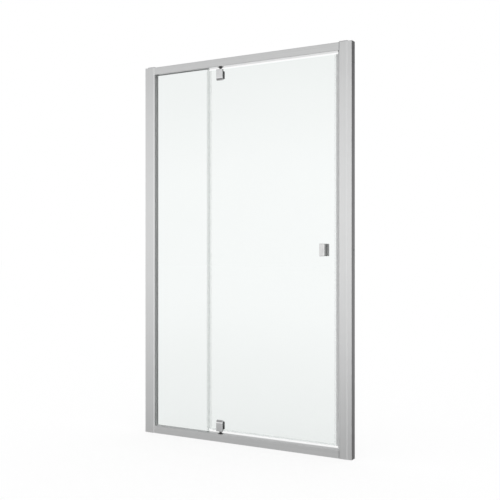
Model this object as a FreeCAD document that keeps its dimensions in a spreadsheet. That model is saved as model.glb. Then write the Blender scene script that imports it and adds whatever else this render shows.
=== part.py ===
"""Pivot shower door with an inline fixed glass panel, in a satin aluminium frame.

The origin is on the floor at the middle of the frame: X runs along the wall-to-wall width, Y from
the outside of the enclosure to its inside, and Z up. All lengths are in millimetres.
"""
import FreeCAD, Part
import math
import os
import re

import Sketcher

# Driving sizes. Each one is set here once, and everything else is worked out from them.
SIZES = {
    # whole frame
    "overall_width": 1200,
    "overall_height": 1950,
    "butt_gap": 0.1,  # between pieces that meet end to end
    "snug_gap": 0.2,  # round a piece that sits in a groove or slot
    "clear_gap": 0.3,  # between neighbours that are only close
    # wall channels
    "channel_leg": 40,
    "channel_wall": 1.6,
    "channel_web": 2,
    "channel_round": 0.8,
    "left_channel_shown": 17.5,
    "right_channel_shown": 21,
    "fixing_hole_radius": 4,
    "fixing_hole_inset": 8.5,  # towards the inside, from the middle of the web
    "fixing_end_distance": 100,
    "end_hole_radius": 2,
    "end_hole_distance": 15,
    # posts
    "post_width": 43,
    "post_depth": 42,
    "post_wall": 1.6,
    "post_round": 5,
    "post_tip_thick": 0.6,
    "slide_gap": 0.3,  # between a post's legs and the wall channel inside them
    "cap_thick": 2,
    "cap_peg_length": 6,
    "cap_peg_gap": 1,
    "lock_screw_radius": 1.9,
    "lock_screw_inset": 10,
    "lock_screw_head_radius": 4.2,
    "lock_screw_head_height": 2.4,
    "lock_screw_length": 12,
    "lock_screw_end_distance": 150,
    # rails
    "rail_height": 39,
    "rail_recess": 1,
    "rail_wall": 1.6,
    "rail_round": 2,
    "port_radius": 1.9,
    "port_wall": 1.7,
    "port_bite": 0.4,  # how far a screw port sinks into the rail's outer wall
    "port_height": 12,
    "corner_screw_radius": 1.7,
    "corner_screw_head_radius": 3.8,
    "corner_screw_head_height": 2.4,
    "corner_screw_grip": 25,  # length inside the rail's port
    # grooves that hold the glass
    "groove_width": 14,
    "groove_depth": 16,
    "glass_bite": 13,  # how deep the fixed pane goes into its grooves
    "gasket_base": 2,
    "lip_reach": 3,
    "lip_thick": 1.2,
    "infill_depth": 8,
    "infill_wall": 1.4,
    # panes
    "glass_thick": 6,
    "glass_arris": 0.5,
    "door_opening": 739,  # from the closing post to the joint between the panes
    "joint_gap": 3,
    "door_bottom_gap": 16,
    "door_top_gap": 13,
    # edge profiles of the panes
    "trim_width": 11,
    "trim_wall": 1.1,
    "seal_wall": 1,
    "pivot_seal_leg": 13,
    "fin_reach": 20,
    "fin_thick": 0.7,
    "fin_gap": 0.4,
    "bottom_seal_leg": 7,
    "drip_reach": 5.5,
    "drip_drop": 5,
    "drip_thick": 0.9,
    "magnet_case_depth": 8.5,
    "magnet_case_width": 10,
    "magnet_seal_leg": 10,
    "strike_gap": 0.8,
    "strike_reach": 11.3,
    "strike_slot_width": 8.4,
    "strike_slot_depth": 8,
    "strike_foot_width": 6,
    "strike_barb": 1,
    # pivots and hinges
    "pivot_offset": 70,  # from the joint between the panes to the turning axis
    "hinge_gap": 12,
    "hinge_width": 38,
    "cover_height": 58,
    "cover_depth": 10,
    "cover_slope_run": 16,
    "cover_slope_drop": 7.5,
    "cover_round": 2,
    "cover_nose": 1,
    "boss_width": 25,
    "boss_height": 26,
    "notch_gap": 1.5,
    "notch_round": 5,
    "plate_start": 10,
    "plate_height": 40,
    "plate_depth": 10,
    "hinge_gasket_space": 1,
    "hinge_gasket_thick": 0.8,
    "hinge_screw_radius": 2,
    "hinge_screw_head_radius": 3.8,
    "hinge_screw_offset": 8,
    "hinge_screw_height": 16,
    "hinge_screw_end": 10,  # how far in front of the glass's middle the screws end
    "pin_radius": 3,
    "pin_fit": 0.05,
    "pin_in_boss": 18,
    "pin_in_socket": 11,
    "pin_chamfer": 0.6,
    "shoulder_radius": 6,
    "washer_radius": 9,
    "washer_thick": 1.5,
    "washer_bore_gap": 1.4,
    "socket_length": 34,
    "socket_depth": 13,
    "socket_flange_radius": 11,
    "socket_flange_thick": 2,
    "socket_bore_depth": 13,
    # knob
    "knob_width": 27.5,
    "knob_height": 60,
    "knob_depth": 25,
    "knob_corner": 4,
    "knob_edge_round": 2.5,
    "knob_gasket_space": 1,
    "knob_gasket_thick": 0.8,
    "knob_gasket_margin": 1,
    "knob_edge_distance": 62.7,  # from the door pane's closing edge
    "knob_centre_height": 975,
    "stud_radius": 3,
    "stud_bore_depth": 14,
    "sleeve_wall": 2.5,
    "sleeve_gap": 0.3,
    "grub_radius": 1.6,
    "grub_length": 8,
}

# Places and sizes that follow from the driving ones.
PLACES = {
    "half_width": "overall_width / 2",
    "glass_half": "glass_thick / 2",
    "post_half": "post_depth / 2",
    "post_inner": "post_half - post_wall",
    "post_tip": "post_inner + post_tip_thick",
    "post_tip_run": "sqrt(post_round ^ 2 - (post_round - post_half + post_tip) ^ 2)",
    "nose_inner_round": "post_round - post_wall",
    "post_slot_floor": "post_width - groove_depth",
    "post_web": "post_slot_floor - post_wall",
    "post_far_wall": "post_width - post_wall",
    "post_top": "overall_height - cap_thick",
    "left_post_face": "left_channel_shown + post_width - half_width",
    "right_post_face": "half_width - right_channel_shown - post_width",
    "channel_half": "post_inner - slide_gap",
    "rail_half": "post_half - rail_recess",
    "header_top": "post_top - rail_recess",
    "header_underside": "header_top - rail_height",
    "rail_length": "right_post_face - left_post_face - 2 * butt_gap",
    "rail_chamber": "rail_half - rail_wall",
    "groove_half": "groove_width / 2",
    "groove_wall": "groove_half + rail_wall",
    "groove_floor": "rail_height - groove_depth",
    "port_offset": "rail_chamber - port_radius - port_wall + port_bite",
    "header_port_height": "header_top - port_height",
    "joint_x": "right_post_face - door_opening",
    "fixed_glass_left": "left_post_face - glass_bite",
    "fixed_glass_right": "joint_x - trim_wall - snug_gap",
    "fixed_glass_bottom": "rail_height - glass_bite",
    "fixed_glass_top": "header_underside + glass_bite",
    "gasket_half": "groove_half - snug_gap",
    "gasket_inner": "glass_half + snug_gap",
    "lip_half": "gasket_inner + lip_thick",
    "trim_inner": "glass_half + snug_gap / 2",
    "trim_half": "trim_inner + trim_wall",
    "infill_start": "fixed_glass_right + clear_gap",
    "infill_end": "right_post_face - snug_gap",
    "seal_inner": "glass_half + snug_gap",
    "seal_half": "seal_inner + seal_wall",
    "door_left": "joint_x + joint_gap",
    "door_right": "right_post_face - strike_reach - strike_gap",
    "door_glass_left": "door_left + seal_wall + snug_gap",
    "door_glass_right": "door_right - magnet_case_depth - seal_wall - snug_gap",
    "door_seal_bottom": "rail_height + door_bottom_gap",
    "door_glass_bottom": "door_seal_bottom + seal_wall + snug_gap",
    "door_glass_top": "header_underside - door_top_gap",
    "fin_front": "trim_half + fin_gap",
    "fin_back": "fin_front + fin_thick",
    "magnet_half": "magnet_case_width / 2 - seal_wall - snug_gap",
    "magnet_depth": "magnet_case_depth - 2 * seal_wall - 2 * snug_gap",
    "strike_slot_half": "strike_slot_width / 2",
    "strike_slot_floor": "post_width - strike_slot_depth",
    "strike_slot_wall": "strike_slot_half + post_wall",
    "strike_foot_half": "strike_foot_width / 2",
    "strike_foot_end": "strike_slot_depth - snug_gap",
    "pivot_x": "joint_x + pivot_offset",
    "hinge_half": "hinge_width / 2",
    "lower_hinge": "rail_height + hinge_gap",
    "upper_hinge": "header_underside - hinge_gap",
    "cover_back": "glass_half + hinge_gasket_space",
    "cover_front": "cover_back + cover_depth",
    "cover_end_front": "cover_front - cover_slope_drop",
    "cover_slope_start": "cover_height - cover_slope_run",
    "cover_slope_round": "(cover_slope_drop ^ 2 + cover_slope_run ^ 2) / (2 * cover_slope_drop)",
    "boss_half": "boss_width / 2",
    "boss_back": "cover_back - snug_gap",
    "notch_half": "boss_half + notch_gap",
    "notch_depth": "boss_height + notch_gap",
    "plate_end": "plate_start + plate_height",
    "plate_back": "cover_back + plate_depth",
    "hinge_screw_cone": "hinge_screw_head_radius - hinge_screw_radius",
    "gasket_slack": "(hinge_gasket_space - hinge_gasket_thick) / 2",
    "pin_bore": "pin_radius + pin_fit",
    "shoulder_length": "hinge_gap - socket_flange_thick - butt_gap - washer_thick - clear_gap",
    "pin_reach": "hinge_gap - socket_flange_thick + pin_in_socket",
    "socket_half": "socket_length / 2",
    "socket_bottom": "rail_height - socket_depth",
    "socket_top": "rail_height + socket_flange_thick",
    "knob_x": "door_glass_right - knob_edge_distance",
    "knob_back_face": "glass_half + knob_gasket_space",
    "knob_face": "knob_back_face + knob_depth",
    "knob_gasket_slack": "(knob_gasket_space - knob_gasket_thick) / 2",
    "sleeve_radius": "stud_radius + snug_gap + sleeve_wall",
    "grub_depth": "(knob_back_face + stud_bore_depth / 2)",
}

# Each axis's origin plane, and which way that plane's sketches face.
PLANES = {"x": ("YZ_Plane", 1), "y": ("XZ_Plane", -1), "z": ("XY_Plane", 1)}
HALF_TURNS = {"x": (1, 0, 0), "y": (0, 1, 0), "z": (0, 0, 1)}

doc = FreeCAD.newDocument("PivotShowerDoor")
sizes = doc.addObject("Spreadsheet::Sheet", "Sizes")
subparts = []


def fill_sheet():
    """Write the driving sizes and the formulas that follow from them into the sheet."""
    rows = [(name, str(size)) for name, size in SIZES.items()]
    rows += [(name, "=" + formula) for name, formula in PLACES.items()]
    for row, (name, content) in enumerate(rows, start=1):
        sizes.set(f"A{row}", name)
        sizes.set(f"B{row}", content)
        sizes.setAlias(f"B{row}", name)
    doc.recompute()


def bound(text):
    """Turn size names in a formula into references to the sheet."""
    def named(match):
        word = match.group()
        return "Sizes." + word if word in SIZES or word in PLACES else word

    return re.sub(r"[a-z_]+", named, text)


def size(text):
    """The present value of a formula of size names."""
    return float(sizes.evalExpression(bound(text)))


def new_body(label, along="0", across="0", up="0", turned=""):
    """Start a sub-part. It is placed by formulas, and half turned about each axis named in turned."""
    body = doc.addObject("PartDesign::Body", label)
    body.Label = label
    turn = FreeCAD.Rotation()
    for axis in turned:
        turn = FreeCAD.Rotation(FreeCAD.Vector(*HALF_TURNS[axis]), 180) * turn
    body.Placement = FreeCAD.Placement(FreeCAD.Vector(size(along), size(across), size(up)), turn)
    for axis, formula in zip("xyz", (along, across, up)):
        body.setExpression(f"Placement.Base.{axis}", bound(formula))
    subparts.append(body)
    return body


def arc_between(start, end, radius):
    """The short arc from start to end, counter-clockwise for a positive radius."""
    if radius < 0:
        return arc_between(end, start, -radius)
    chord = end - start
    rise = (radius ** 2 - chord.Length ** 2 / 4) ** 0.5
    left = FreeCAD.Vector(-chord.y, chord.x, 0).normalize()
    centre = (start + end) * 0.5 + left * rise
    circle = Part.Circle(centre, FreeCAD.Vector(0, 0, 1), radius)
    return Part.ArcOfCircle(circle, circle.parameter(start), circle.parameter(end))


def pin_down(sketch, kind, formula, *where):
    """Add one constraint and bind it to a formula."""
    index = sketch.addConstraint(Sketcher.Constraint(kind, *where, size(formula)))
    sketch.setExpression(f"Constraints[{index}]", bound(formula))


def draw_circle(sketch, across, up, radius):
    """Draw a circle whose centre and radius are formulas."""
    centre = FreeCAD.Vector(size(across), size(up), 0)
    circle = Part.Circle(centre, FreeCAD.Vector(0, 0, 1), size(radius))
    index = sketch.addGeometry(circle, False)
    pin_down(sketch, "DistanceX", across, index, 3)
    pin_down(sketch, "DistanceY", up, index, 3)
    pin_down(sketch, "Radius", radius, index)


def draw_loop(sketch, corners):
    """Draw a closed loop through corners of two formulas each.

    A third formula is the radius of the arc to the next corner, counter-clockwise when positive.
    """
    first = sketch.GeometryCount
    spots = [FreeCAD.Vector(size(corner[0]), size(corner[1]), 0) for corner in corners]
    ends = []
    for index, corner in enumerate(corners):
        start, end = spots[index], spots[(index + 1) % len(corners)]
        if len(corner) == 3:
            radius = size(corner[2])
            sketch.addGeometry(arc_between(start, end, radius), False)
            ends.append((1, 2) if radius > 0 else (2, 1))
        else:
            sketch.addGeometry(Part.LineSegment(start, end), False)
            ends.append((1, 2))
    for index, corner in enumerate(corners):
        edge = first + index
        before = first + (index - 1) % len(corners)
        meeting = (before, ends[index - 1][1], edge, ends[index][0])
        sketch.addConstraint(Sketcher.Constraint("Coincident", *meeting))
        pin_down(sketch, "DistanceX", corner[0], edge, ends[index][0])
        pin_down(sketch, "DistanceY", corner[1], edge, ends[index][0])
        if len(corner) == 3:
            pin_down(sketch, "Radius", corner[2].lstrip("-"), edge)


def box_loop(left, right, low, high):
    """A rectangle's four corners."""
    return [(left, low), (right, low), (right, high), (left, high)]


def rounded_box_loop(half_across, half_up, radius):
    """A rectangle about the sketch's origin with four round corners."""
    a, b, r = half_across, half_up, radius
    return [
        (f"-({a}) + {r}", f"-({b})"),
        (f"{a} - {r}", f"-({b})", r),
        (a, f"-({b}) + {r}"),
        (a, f"{b} - {r}", r),
        (f"{a} - {r}", b),
        (f"-({a}) + {r}", b, r),
        (f"-({a})", f"{b} - {r}"),
        (f"-({a})", f"-({b}) + {r}", r),
    ]


def both_halves(half):
    """Complete an outline that is drawn from its middle line outwards on the near side only.

    The near half has negative second formulas. The far half is its mirror image, run backwards.
    """
    far = []
    for index in range(len(half) - 1, -1, -1):
        across, up = half[index][:2]
        arc = half[index - 1][2:] if index else ()
        far.append((across, f"-({up})", *arc))
    return half + far


def new_sketch(body, name, axis, offset):
    """Start a sketch square to one axis of the body, offset along that axis by a formula."""
    role, facing = PLANES[axis]
    sketch = body.newObject("Sketcher::SketchObject", name)
    plane = next(item for item in body.Origin.OriginFeatures if item.Role == role)
    sketch.AttachmentSupport = (plane, [""])
    sketch.MapMode = "FlatFace"
    sketch.AttachmentOffset = FreeCAD.Placement(
        FreeCAD.Vector(0, 0, facing * size(offset)), FreeCAD.Rotation()
    )
    sketch.setExpression("AttachmentOffset.Base.z", bound(f"{facing} * ({offset})"))
    return sketch


def extrude(body, name, axis, loops, start, end, cut=False):
    """Raise the loops from start to end along one axis of the body, or cut them out of it."""
    facing = PLANES[axis][1]
    base = start if (facing > 0) != cut else end
    sketch = new_sketch(body, name + "_outline", axis, base)
    for loop in loops:
        if isinstance(loop, tuple):
            draw_circle(sketch, *loop)
        else:
            draw_loop(sketch, loop)
    feature = body.newObject("PartDesign::Pocket" if cut else "PartDesign::Pad", name)
    feature.Profile = sketch
    feature.Length = size(f"({end}) - ({start})")
    feature.setExpression("Length", bound(f"({end}) - ({start})"))
    body.Tip = feature
    doc.recompute()
    return feature


def spin(body, name, half_section):
    """Turn a half section about the body's upright axis."""
    sketch = new_sketch(body, name + "_outline", "y", "0")
    draw_loop(sketch, half_section)
    feature = body.newObject("PartDesign::Revolution", name)
    feature.Profile = sketch
    feature.ReferenceAxis = (sketch, ["V_Axis"])
    feature.Angle = 360
    body.Tip = feature
    doc.recompute()
    return feature


def dress_edges(body, kind, name, amount, chosen):
    """Round or bevel the edges of the body for which chosen(edge) holds."""
    base = body.Tip
    picked = [f"Edge{n}" for n, edge in enumerate(base.Shape.Edges, start=1) if chosen(edge)]
    feature = body.newObject(kind, name)
    feature.Base = (base, picked)
    property_name = "Radius" if kind == "PartDesign::Fillet" else "Size"
    feature.setExpression(property_name, bound(amount))
    body.Tip = feature
    doc.recompute()
    return feature


def repeat_up(body, name, feature, span, count):
    """Repeat a feature at equal steps up the body, over a span given by a formula."""
    pattern = body.newObject("PartDesign::LinearPattern", name)
    pattern.Originals = [feature]
    axis = next(item for item in body.Origin.OriginFeatures if item.Role == "Z_Axis")
    pattern.Direction = (axis, [""])
    pattern.Length = size(span)
    pattern.setExpression("Length", bound(span))
    pattern.Occurrences = count
    body.Tip = pattern
    doc.recompute()
    return pattern


def mirror_across(body, name, features, axis):
    """Mirror features across the body's origin plane that is square to one axis."""
    mirrored = body.newObject("PartDesign::Mirrored", name)
    mirrored.Originals = features
    plane = next(item for item in body.Origin.OriginFeatures if item.Role == PLANES[axis][0])
    mirrored.MirrorPlane = (plane, [""])
    body.Tip = mirrored
    doc.recompute()
    return mirrored


def near(first, second):
    """Whether two lengths are the same, apart from rounding."""
    return abs(first - second) < 1e-4


def wall_channel(side):
    """U channel that is screwed to the wall. It starts at the wall and opens towards the door."""
    left = side == "left"
    body = new_body(
        f"{side}_wall_channel",
        along="-half_width" if left else "half_width",
        turned="" if left else "z",
    )
    outline = both_halves([
        ("channel_web", "-channel_half + channel_wall"),
        ("channel_leg", "-channel_half + channel_wall"),
        ("channel_leg", "-channel_half"),
        ("channel_round", "-channel_half", "-channel_round"),
        ("0", "-channel_half + channel_round"),
    ])
    extrude(body, "channel", "z", [outline], "0", "post_top")
    inward = 1 if left else -1
    fixing = [(f"{inward} * fixing_hole_inset", "fixing_end_distance", "fixing_hole_radius")]
    fixing_hole = extrude(body, "fixing_hole", "x", fixing, "0", "channel_web", cut=True)
    repeat_up(body, "fixing_holes", fixing_hole, "overall_height - 2 * fixing_end_distance", 3)
    end = [(f"{-inward} * fixing_hole_inset", "end_hole_distance", "end_hole_radius")]
    end_hole = extrude(body, "end_hole", "x", end, "0", "channel_web", cut=True)
    repeat_up(body, "end_holes", end_hole, "post_top - 2 * end_hole_distance", 2)
    row = (f"{side}_channel_shown + lock_screw_inset", "lock_screw_end_distance")
    pilot = [(*row, "lock_screw_radius + snug_gap / 2")]
    inner, outer = "channel_half - channel_wall", "channel_half"
    if left:
        pilot_hole = extrude(body, "pilot_hole", "y", pilot, inner, outer, cut=True)
    else:
        pilot_hole = extrude(body, "pilot_hole", "y", pilot, f"-{outer}", f"-({inner})", cut=True)
    repeat_up(body, "pilot_holes", pilot_hole, "overall_height - 2 * lock_screw_end_distance", 3)


def post_outline(slot_half, slot_floor):
    """Half of a post's outline, from its web round the leg's tip and the nose to the slot."""
    return both_halves([
        ("post_web", "-post_inner"),
        ("0", "-post_inner"),
        ("0", "-post_tip", "post_round"),
        ("post_tip_run", "-post_half"),
        ("post_width - post_round", "-post_half", "post_round"),
        ("post_width", "-post_half + post_round"),
        ("post_width", f"-{slot_half}"),
        (slot_floor, f"-{slot_half}"),
    ])


def post_chamber(sign):
    """The hollow beside the glazing slot, on one side of the post."""
    corners = [
        ("post_slot_floor", "groove_half + post_wall"),
        ("post_far_wall", "groove_half + post_wall"),
        ("post_far_wall", "post_inner - nose_inner_round", "nose_inner_round"),
        ("post_far_wall - nose_inner_round", "post_inner"),
        ("post_slot_floor", "post_inner"),
    ]
    if sign > 0:
        return corners
    return [
        ("post_slot_floor", "-post_inner"),
        ("post_far_wall - nose_inner_round", "-post_inner", "nose_inner_round"),
        ("post_far_wall", "-post_inner + nose_inner_round"),
        ("post_far_wall", "-groove_half - post_wall"),
        ("post_slot_floor", "-groove_half - post_wall"),
    ]


def post(side):
    """Upright that slides over the wall channel. It starts at its wall side."""
    left = side == "left"
    face = f"{side}_post_face"
    body = new_body(
        f"{side}_post",
        along=f"{face} - post_width" if left else f"{face} + post_width",
        turned="" if left else "z",
    )
    if left:
        loops = [post_outline("groove_half", "post_slot_floor"), post_chamber(-1), post_chamber(1)]
    else:
        chamber = both_halves([
            ("post_slot_floor", "-post_inner"),
            ("post_far_wall - nose_inner_round", "-post_inner", "nose_inner_round"),
            ("post_far_wall", "-post_inner + nose_inner_round"),
            ("post_far_wall", "-strike_slot_wall"),
            ("strike_slot_floor - post_wall", "-strike_slot_wall"),
        ])
        loops = [post_outline("strike_slot_half", "strike_slot_floor"), chamber]
    extrude(body, "post", "z", loops, "0", "post_top")
    reach = "corner_screw_radius + snug_gap"
    corner = [("port_offset", "port_height", reach), ("-port_offset", "port_height", reach)]
    corner_hole = extrude(body, "corner_hole", "x", corner, "0", "post_width", cut=True)
    repeat_up(body, "corner_holes", corner_hole, "header_port_height - port_height", 2)
    lock = [("lock_screw_inset", "lock_screw_end_distance", "lock_screw_radius + clear_gap")]
    if left:
        lock_hole = extrude(body, "lock_hole", "y", lock, "post_inner", "post_half", cut=True)
    else:
        lock_hole = extrude(body, "lock_hole", "y", lock, "-post_half", "-post_inner", cut=True)
    repeat_up(body, "lock_holes", lock_hole, "overall_height - 2 * lock_screw_end_distance", 3)


def post_cap(side):
    """Plastic plug that closes the top of a post. It starts at the post's end face."""
    left = side == "left"
    face = f"{side}_post_face"
    body = new_body(
        f"{side}_post_cap",
        along=f"{face} - post_width" if left else f"{face} + post_width",
        up="post_top",
        turned="" if left else "z",
    )
    plate = both_halves([
        ("0", "-post_tip", "post_round"),
        ("post_tip_run", "-post_half"),
        ("post_width - post_round", "-post_half", "post_round"),
        ("post_width", "-post_half + post_round"),
    ])
    extrude(body, "plate", "z", [plate], "0", "cap_thick")
    low, high = "groove_half + post_wall + cap_peg_gap", "post_inner - cap_peg_gap"
    near_end, far_end = "post_slot_floor + cap_peg_gap", "post_far_wall - nose_inner_round"
    pegs = [
        box_loop(near_end, far_end, low, high),
        box_loop(near_end, far_end, f"-({high})", f"-({low})"),
    ]
    extrude(body, "pegs", "z", pegs, "-cap_peg_length", "0")


def corner_screws(side):
    """Long screws through a post into the screw ports of both rails."""
    left = side == "left"
    face = f"{side}_post_face"
    body = new_body(
        f"{side}_corner_screws",
        along=f"{face} - post_width" if left else f"{face} + post_width",
        turned="" if left else "z",
    )
    place = ("port_offset", "port_height")
    seat = "post_web - butt_gap"
    head = extrude(
        body, "head", "x", [(*place, "corner_screw_head_radius")],
        f"{seat} - corner_screw_head_height", seat,
    )
    shank = extrude(
        body, "shank", "x", [(*place, "corner_screw_radius")],
        seat, "post_width + corner_screw_grip",
    )
    pattern = body.newObject("PartDesign::MultiTransform", "all_screws")
    pattern.Originals = [head, shank]
    pair = body.newObject("PartDesign::Mirrored", "pair")
    plane = next(item for item in body.Origin.OriginFeatures if item.Role == "XZ_Plane")
    pair.MirrorPlane = (plane, [""])
    ends = body.newObject("PartDesign::LinearPattern", "ends")
    axis = next(item for item in body.Origin.OriginFeatures if item.Role == "Z_Axis")
    ends.Direction = (axis, [""])
    ends.setExpression("Length", bound("header_port_height - port_height"))
    ends.Occurrences = 2
    pattern.Transformations = [pair, ends]
    body.Tip = pattern
    doc.recompute()


def lock_screws(side):
    """Short screws that lock a post to its wall channel, put in from the inside."""
    left = side == "left"
    face = f"{side}_post_face"
    body = new_body(
        f"{side}_lock_screws",
        along=f"{face} - post_width + lock_screw_inset" if left
        else f"{face} + post_width - lock_screw_inset",
        up="lock_screw_end_distance",
    )
    seat = "post_half + butt_gap"
    head = extrude(
        body, "head", "y", [("0", "0", "lock_screw_head_radius")],
        seat, f"{seat} + lock_screw_head_height",
    )
    dome = dress_edges(
        body, "PartDesign::Fillet", "dome", "lock_screw_head_height - clear_gap",
        lambda edge: near(edge.BoundBox.YMin, size(f"{seat} + lock_screw_head_height")),
    )
    shank = extrude(
        body, "shank", "y", [("0", "0", "lock_screw_radius")],
        f"{seat} - lock_screw_length", seat,
    )
    span = "overall_height - 2 * lock_screw_end_distance"
    repeat_up(body, "screws", shank, span, 3).Originals = [head, dome, shank]
    doc.recompute()


def rail(label, up, turned):
    """Hollow rail with a groove for the glass and two screw ports. It starts at its left end."""
    body = new_body(label, along="left_post_face + butt_gap", up=up, turned=turned)
    outline = [
        ("-rail_half + rail_round", "0"),
        ("rail_half - rail_round", "0", "rail_round"),
        ("rail_half", "rail_round"),
        ("rail_half", "rail_height - rail_round", "rail_round"),
        ("rail_half - rail_round", "rail_height"),
        ("groove_half", "rail_height"),
        ("groove_half", "groove_floor"),
        ("-groove_half", "groove_floor"),
        ("-groove_half", "rail_height"),
        ("-rail_half + rail_round", "rail_height", "rail_round"),
        ("-rail_half", "rail_height - rail_round"),
        ("-rail_half", "rail_round", "rail_round"),
    ]
    chamber = [
        ("-rail_chamber", "rail_wall"),
        ("rail_chamber", "rail_wall"),
        ("rail_chamber", "rail_height - rail_wall"),
        ("groove_wall", "rail_height - rail_wall"),
        ("groove_wall", "groove_floor - rail_wall"),
        ("-groove_wall", "groove_floor - rail_wall"),
        ("-groove_wall", "rail_height - rail_wall"),
        ("-rail_chamber", "rail_height - rail_wall"),
    ]
    extrude(body, "rail", "x", [outline, chamber], "0", "rail_length")
    skins = [(f"{sign}port_offset", "port_height", "port_radius + port_wall") for sign in ("", "-")]
    extrude(body, "ports", "x", skins, "0", "rail_length")
    bores = [(f"{sign}port_offset", "port_height", "port_radius") for sign in ("", "-")]
    extrude(body, "port_bores", "x", bores, "0", "rail_length", cut=True)


def pane(label, loops):
    """Sheet of safety glass with bevelled arrises, drawn square to the door's depth."""
    body = new_body(label)
    extrude(body, "sheet", "y", loops, "-glass_half", "glass_half")
    dress_edges(
        body, "PartDesign::Chamfer", "arris", "glass_arris",
        lambda edge: near(edge.BoundBox.YMin, edge.BoundBox.YMax),
    )


def fixed_glass():
    """Fixed pane, held on three sides in the post's slot and the rails' grooves."""
    sheet = box_loop(
        "fixed_glass_left", "fixed_glass_right", "fixed_glass_bottom", "fixed_glass_top"
    )
    pane("fixed_glass", [sheet])


def door_glass():
    """Door pane, with a round-cornered notch for each hinge and a hole for the knob's stud."""
    low, high = "lower_hinge + notch_depth", "upper_hinge - notch_depth"
    left, right = "pivot_x - notch_half", "pivot_x + notch_half"
    outline = [
        ("door_glass_left", "door_glass_bottom"),
        (left, "door_glass_bottom"),
        (left, f"{low} - notch_round", "-notch_round"),
        (f"{left} + notch_round", low),
        (f"{right} - notch_round", low, "-notch_round"),
        (right, f"{low} - notch_round"),
        (right, "door_glass_bottom"),
        ("door_glass_right", "door_glass_bottom"),
        ("door_glass_right", "door_glass_top"),
        (right, "door_glass_top"),
        (right, f"{high} + notch_round", "-notch_round"),
        (f"{right} - notch_round", high),
        (f"{left} + notch_round", high, "-notch_round"),
        (left, f"{high} + notch_round"),
        (left, "door_glass_top"),
        ("door_glass_left", "door_glass_top"),
    ]
    stud_hole = ("knob_x", "knob_centre_height", "sleeve_radius + sleeve_gap")
    pane("door_glass", [outline, stud_hole])


def gasket_outline(mouth):
    """Half section of a glazing gasket with a tapered lip, open where the glass goes in."""
    floor = f"{mouth} - groove_depth + snug_gap"
    return both_halves([
        (f"{floor} + gasket_base", "-gasket_inner"),
        (f"{mouth} + lip_reach", "-gasket_inner"),
        (f"{mouth} + lip_reach", "-lip_half"),
        (mouth, "-gasket_half"),
        (floor, "-gasket_half"),
    ])


def glazing_gaskets():
    """Gaskets that hold the fixed pane in the post and in both rails."""
    post_gasket = new_body("fixed_glass_post_gasket", along="left_post_face - post_width")
    extrude(
        post_gasket, "gasket", "z", [gasket_outline("post_width")],
        "rail_height + lip_reach + snug_gap", "header_underside - lip_reach - snug_gap",
    )
    swapped = [(up, across) for across, up in gasket_outline("rail_height")]
    for label, up, turned in (
        ("fixed_glass_sill_gasket", "0", ""),
        ("fixed_glass_head_gasket", "header_top", "x"),
    ):
        rail_gasket = new_body(label, up=up, turned=turned)
        extrude(
            rail_gasket, "gasket", "x", [swapped],
            "left_post_face + snug_gap", "joint_x - trim_width - snug_gap",
        )


def edge_trim():
    """Slim channel that covers the fixed pane's free edge."""
    body = new_body("fixed_glass_edge_trim", along="joint_x")
    outline = both_halves([
        ("-trim_wall", "-trim_inner"),
        ("-trim_width", "-trim_inner"),
        ("-trim_width", "-trim_half"),
        ("0", "-trim_half"),
    ])
    extrude(body, "trim", "z", [outline], "rail_height + butt_gap", "header_underside - butt_gap")


def infill_strips():
    """Snap-in strips that close a rail's groove on both sides of the pivot socket."""
    section = [
        ("-gasket_half", "rail_height - infill_depth"),
        ("-gasket_half + infill_wall", "rail_height - infill_depth"),
        ("-gasket_half + infill_wall", "rail_height - infill_wall"),
        ("gasket_half - infill_wall", "rail_height - infill_wall"),
        ("gasket_half - infill_wall", "rail_height - infill_depth"),
        ("gasket_half", "rail_height - infill_depth"),
        ("gasket_half", "rail_height"),
        ("-gasket_half", "rail_height"),
    ]
    spans = {
        "short": ("infill_start", "pivot_x - socket_half - snug_gap"),
        "long": ("pivot_x + socket_half + snug_gap", "infill_end"),
    }
    for place, up, turned in (("sill", "0", ""), ("head", "header_top", "x")):
        for length, (start, end) in spans.items():
            body = new_body(f"{place}_infill_{length}", up=up, turned=turned)
            extrude(body, "infill", "x", [section], start, end)


def strike():
    """Closing strip that pushes into the right post, and the magnet in its hollow case."""
    seal = new_body("strike_seal", along="right_post_face", turned="z")
    face = "strike_reach"
    outline = both_halves([
        ("-strike_foot_end", "-strike_foot_half"),
        ("-strike_foot_end + strike_barb", "-strike_foot_half - strike_barb"),
        ("-strike_foot_end + 2 * strike_barb", "-strike_foot_half"),
        ("snug_gap", "-strike_foot_half"),
        ("snug_gap", "-magnet_case_width / 2"),
        (f"{face} - seal_wall", "-magnet_case_width / 2", "seal_wall"),
        (face, "-magnet_case_width / 2 + seal_wall"),
    ])
    hollow = box_loop(
        f"{face} - magnet_case_depth + seal_wall", f"{face} - seal_wall",
        "-magnet_case_width / 2 + seal_wall", "magnet_case_width / 2 - seal_wall",
    )
    low, high = "rail_height + clear_gap", "header_underside - clear_gap"
    extrude(seal, "seal", "z", [outline, hollow], low, high)
    magnet_bar("strike_magnet", "right_post_face - strike_reach + seal_wall + snug_gap", low, high)


def magnet_bar(label, start, low, high):
    """Flexible magnet bar inside a seal's hollow case."""
    bar = doc.addObject("Part::Box", label)
    bar.Label = label
    spans = {"Length": "magnet_depth", "Width": "2 * magnet_half", "Height": f"({high}) - ({low})"}
    for side, formula in spans.items():
        bar.setExpression(side, bound(formula))
    for axis, formula in zip("xyz", (start, "-magnet_half", low)):
        bar.setExpression(f"Placement.Base.{axis}", bound(formula))
    subparts.append(bar)


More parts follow.
